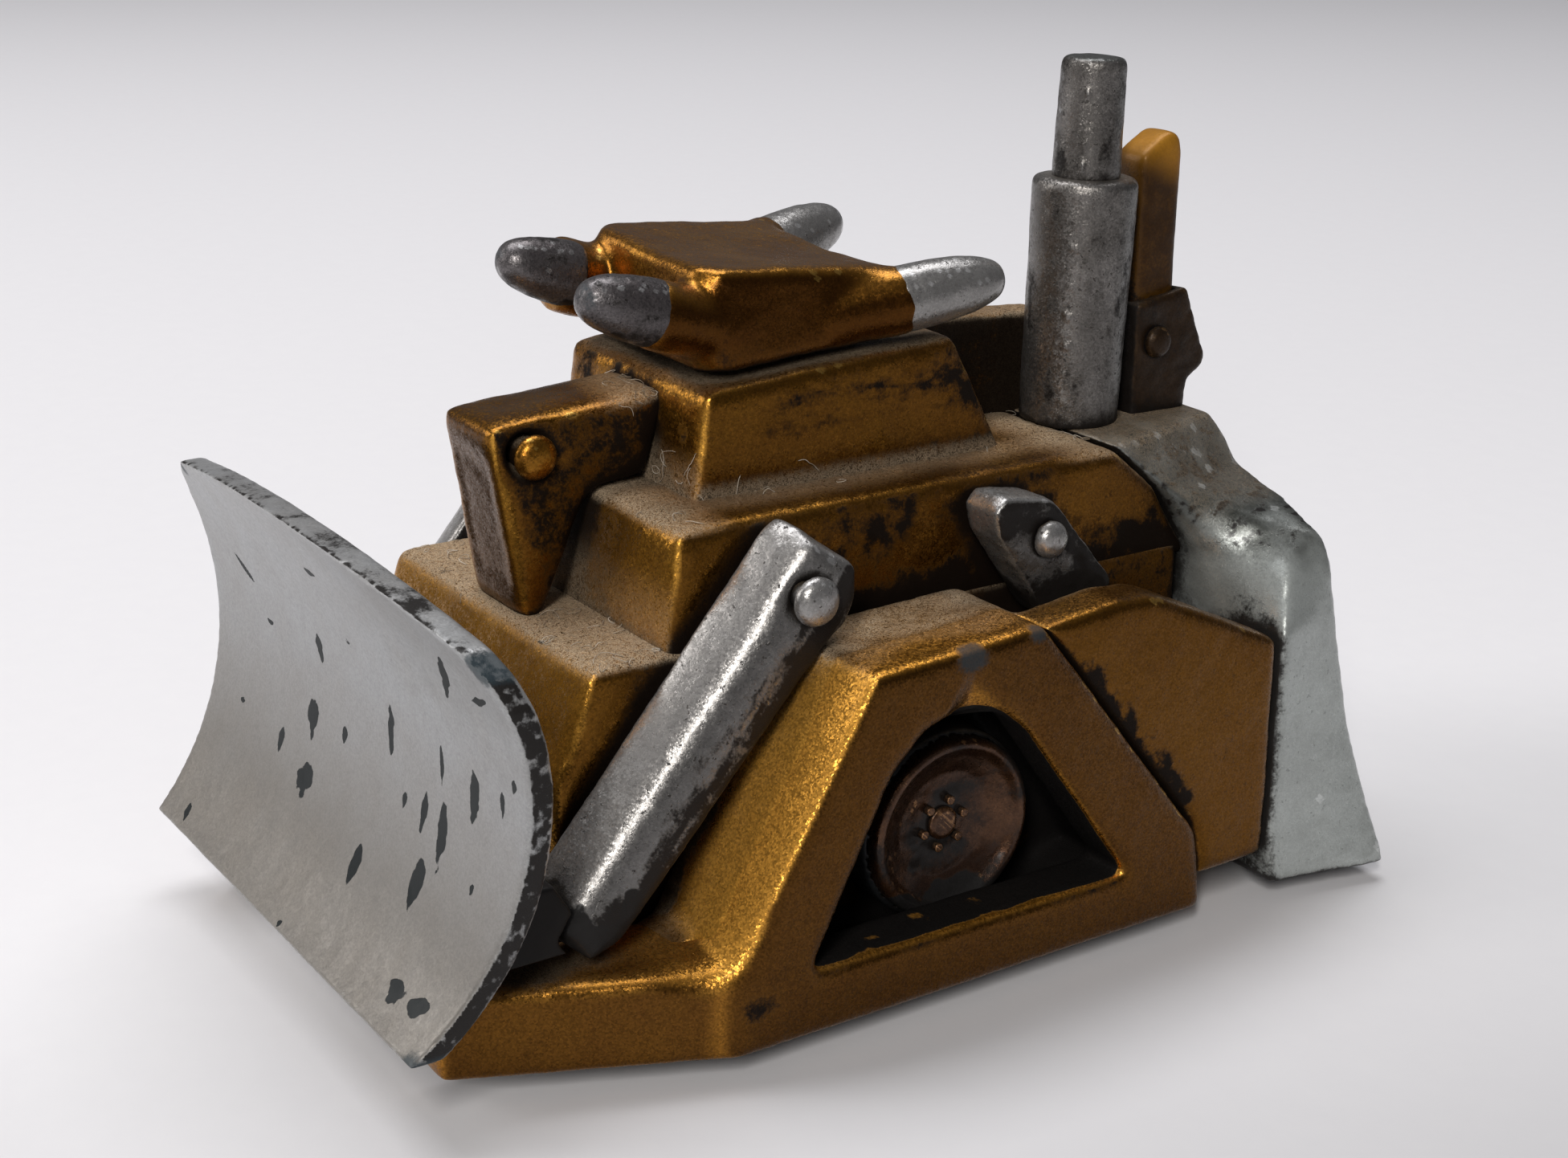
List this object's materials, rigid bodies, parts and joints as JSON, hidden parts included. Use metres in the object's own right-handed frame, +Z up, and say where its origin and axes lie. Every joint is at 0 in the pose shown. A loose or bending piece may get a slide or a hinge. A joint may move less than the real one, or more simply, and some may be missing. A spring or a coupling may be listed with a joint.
{
  "type": "toy bulldozer",
  "caption": "Toy bulldozer: curved front blade on lifting arms, spiked swivelling turret on a stepped hull, triangular side frames, chimney stack, rear post and hidden free-rolling wheels.",
  "frame": {"origin": "centre of the part's outline in plan, on the table under the wheels", "axes": "+Z up, -Y forwards over the blade, +X to the vehicle's left side"},
  "size_m": [0.033, 0.0477, 0.0362],
  "materials": {
    "gold_paint": "metallic bronze-gold paint over plastic, dark grime in the recesses",
    "silver_paint": "satin silver paint over plastic, worn at the edges",
    "stack_metal": "rough dark silver paint with dirt",
    "ochre_post": "satin ochre tip, brown below",
    "brown_bracket": "dark brown satin",
    "bare_plastic": "dark moulded plastic",
    "copper_disc": "copper-brown metallic paint",
    "axle_steel": "bare drawn wire"
  },
  "bodies": {
    "chassis": {"base_plate": "bare_plastic", "chassis_screws": "axle_steel", "engine_cover": "gold_paint", "hull_lower": "gold_paint", "hull_upper": "gold_paint", "idler_bolts_left": "copper_disc", "idler_bolts_right": "copper_disc", "idler_disc_left": "copper_disc", "idler_disc_right": "copper_disc", "idler_hub_left": "copper_disc", "idler_hub_right": "copper_disc", "idler_tyre_left": "bare_plastic", "idler_tyre_right": "bare_plastic", "lift_pin_left": "silver_paint", "lift_pin_right": "silver_paint", "nose_block": "gold_paint", "nose_pin": "gold_paint", "post_bracket": "brown_bracket", "post_pin": "brown_bracket", "rear_post": "ochre_post", "rear_skirt": "silver_paint", "rear_strut_left": "silver_paint", "rear_strut_right": "silver_paint", "side_frame_left": "gold_paint", "side_frame_right": "gold_paint", "stack_lower": "stack_metal", "stack_upper": "stack_metal", "strut_pin_left": "silver_paint", "strut_pin_right": "silver_paint", "superstructure": "gold_paint", "track_guard_left": "gold_paint", "track_guard_right": "gold_paint"},
    "turret": {"turret_body": "gold_paint", "spike_front_left": "silver_paint", "spike_front_right": "silver_paint", "spike_rear_left": "silver_paint", "spike_rear_right": "silver_paint", "turret_peg": "bare_plastic"},
    "blade_assembly": {"blade": "silver_paint", "blade_bracket_left": "bare_plastic", "blade_bracket_right": "bare_plastic", "lift_arm_left": "silver_paint", "lift_arm_right": "silver_paint"},
    "front_axle": {"axle_front": "axle_steel", "wheel_front_left": "bare_plastic", "wheel_front_right": "bare_plastic"},
    "rear_axle": {"axle_rear": "axle_steel", "wheel_rear_left": "bare_plastic", "wheel_rear_right": "bare_plastic"}
  },
  "joints": [
    {"name": "turret_swivel", "type": "hinge", "parent": "chassis", "child": "turret", "pos_m": [0, -0.0016, 0.02515], "axis": [0, -0.0727, 0.9974], "continuous": true},
    {"name": "blade_lift", "type": "hinge", "parent": "chassis", "child": "blade_assembly", "pos_m": [0, -0.0058, 0.0178], "axis": [-1, 0, 0], "range_deg": [0, 20]},
    {"name": "axle_front_spin", "type": "hinge", "parent": "chassis", "child": "front_axle", "pos_m": [0, -0.008, 0.0019], "axis": [1, 0, 0], "continuous": true},
    {"name": "axle_rear_spin", "type": "hinge", "parent": "chassis", "child": "rear_axle", "pos_m": [0, 0.01, 0.0019], "axis": [1, 0, 0], "continuous": true}
  ]
}
